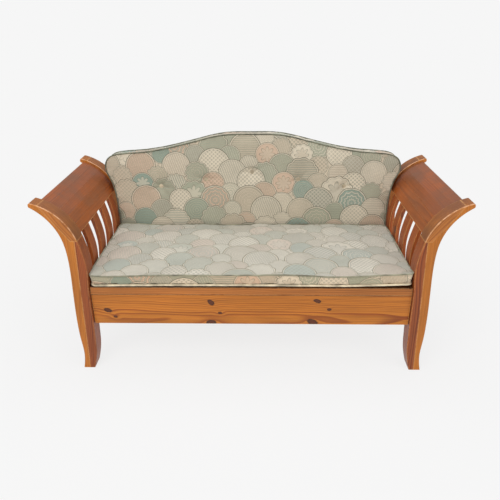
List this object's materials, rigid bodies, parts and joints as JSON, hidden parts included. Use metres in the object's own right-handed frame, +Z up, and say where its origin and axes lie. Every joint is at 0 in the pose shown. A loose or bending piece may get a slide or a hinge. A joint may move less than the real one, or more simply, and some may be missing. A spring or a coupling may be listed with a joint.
{
  "type": "pull-out bench bed",
  "caption": "Pine settee with scrolled arms and loose cushions; its slatted seat front pulls out on fold-down legs to make a bed.",
  "frame": {"origin": "on the floor, under the middle of the bench frame", "axes": "+X along the bench to its right end, -Y towards the front, +Z up"},
  "size_m": [1.826, 0.7, 0.9589],
  "materials": {
    "pine_honey": "honey-orange varnished pine, satin",
    "pine_reddish": "redder varnished pine, satin",
    "pine_plain": "plain pine, waxed",
    "zinc_steel": "zinc plated",
    "barrel_steel": "zinc plated",
    "screw_steel": "plain steel",
    "printed_cotton": "printed upholstery cotton"
  },
  "bodies": {
    "pull_out_front": {"apron_board": "pine_honey", "apron_cap": "pine_honey", "front_batten": "pine_plain", "leg_pivot_bolts": "zinc_steel", "leg_stop_block_left": "pine_plain", "leg_stop_block_right": "pine_plain", "rear_batten": "pine_plain", "sliding_seat_slat_1": "pine_plain", "sliding_seat_slat_2": "pine_plain", "sliding_seat_slat_3": "pine_plain", "sliding_seat_slat_4": "pine_plain", "sliding_seat_slat_5": "pine_plain", "sliding_seat_slat_6": "pine_plain", "sliding_slat_screws": "screw_steel"},
    "bench_frame": {"arm_staves_left": "pine_honey", "arm_staves_right": "pine_honey", "back_slats": "pine_honey", "barrel_nuts": "barrel_steel", "connector_bolts": "zinc_steel", "crest_rail": "pine_honey", "fixed_seat_slat_1": "pine_plain", "fixed_seat_slat_2": "pine_plain", "fixed_seat_slat_3": "pine_plain", "fixed_seat_slat_4": "pine_plain", "fixed_seat_slat_5": "pine_plain", "fixed_seat_slat_6": "pine_plain", "fixed_seat_slat_7": "pine_plain", "fixed_slat_screws": "screw_steel", "front_bearer": "pine_plain", "front_post_inner_board_left": "pine_reddish", "front_post_inner_board_right": "pine_reddish", "front_post_outer_board_left": "pine_honey", "front_post_outer_board_right": "pine_honey", "front_scroll_block_left": "pine_reddish", "front_scroll_block_right": "pine_reddish", "lower_back_rail": "pine_honey", "rear_post_inner_board_left": "pine_reddish", "rear_post_inner_board_right": "pine_reddish", "rear_post_outer_board_left": "pine_honey", "rear_post_outer_board_right": "pine_honey", "rear_scroll_block_left": "pine_reddish", "rear_scroll_block_right": "pine_reddish", "rear_seat_rail": "pine_honey", "side_rail_left": "pine_honey", "side_rail_right": "pine_honey", "side_slat_1_left": "pine_honey", "side_slat_1_right": "pine_honey", "side_slat_2_left": "pine_honey", "side_slat_2_right": "pine_honey", "side_slat_3_left": "pine_honey", "side_slat_3_right": "pine_honey", "side_slat_4_left": "pine_honey", "side_slat_4_right": "pine_honey"},
    "back_cushion_body": {"back_cushion": "printed_cotton", "back_cushion_buttons": "printed_cotton"},
    "left_leg": {"fold_down_leg_left": "pine_plain"},
    "right_leg": {"fold_down_leg_right": "pine_plain"},
    "seat_cushion_body": {"seat_cushion": "printed_cotton"}
  },
  "joints": [
    {"name": "pull_out_slide", "type": "slide", "parent": "bench_frame", "child": "pull_out_front", "axis": [0, -1, 0], "range_m": [0, 0.49]},
    {"name": "left_leg_fold", "type": "hinge", "parent": "pull_out_front", "child": "left_leg", "pos_m": [-0.62, -0.3025, 0.326], "axis": [0, 1, 0], "range_deg": [0, 90]},
    {"name": "right_leg_fold", "type": "hinge", "parent": "pull_out_front", "child": "right_leg", "pos_m": [0.62, -0.3025, 0.326], "axis": [0, -1, 0], "range_deg": [0, 90]},
    {"name": "seat_cushion_lift", "type": "slide", "parent": "bench_frame", "child": "seat_cushion_body", "axis": [0, 0, 1], "range_m": [0, 0.25]},
    {"name": "back_cushion_lift", "type": "slide", "parent": "bench_frame", "child": "back_cushion_body", "axis": [0, 0, 1], "range_m": [0, 0.3]}
  ]
}
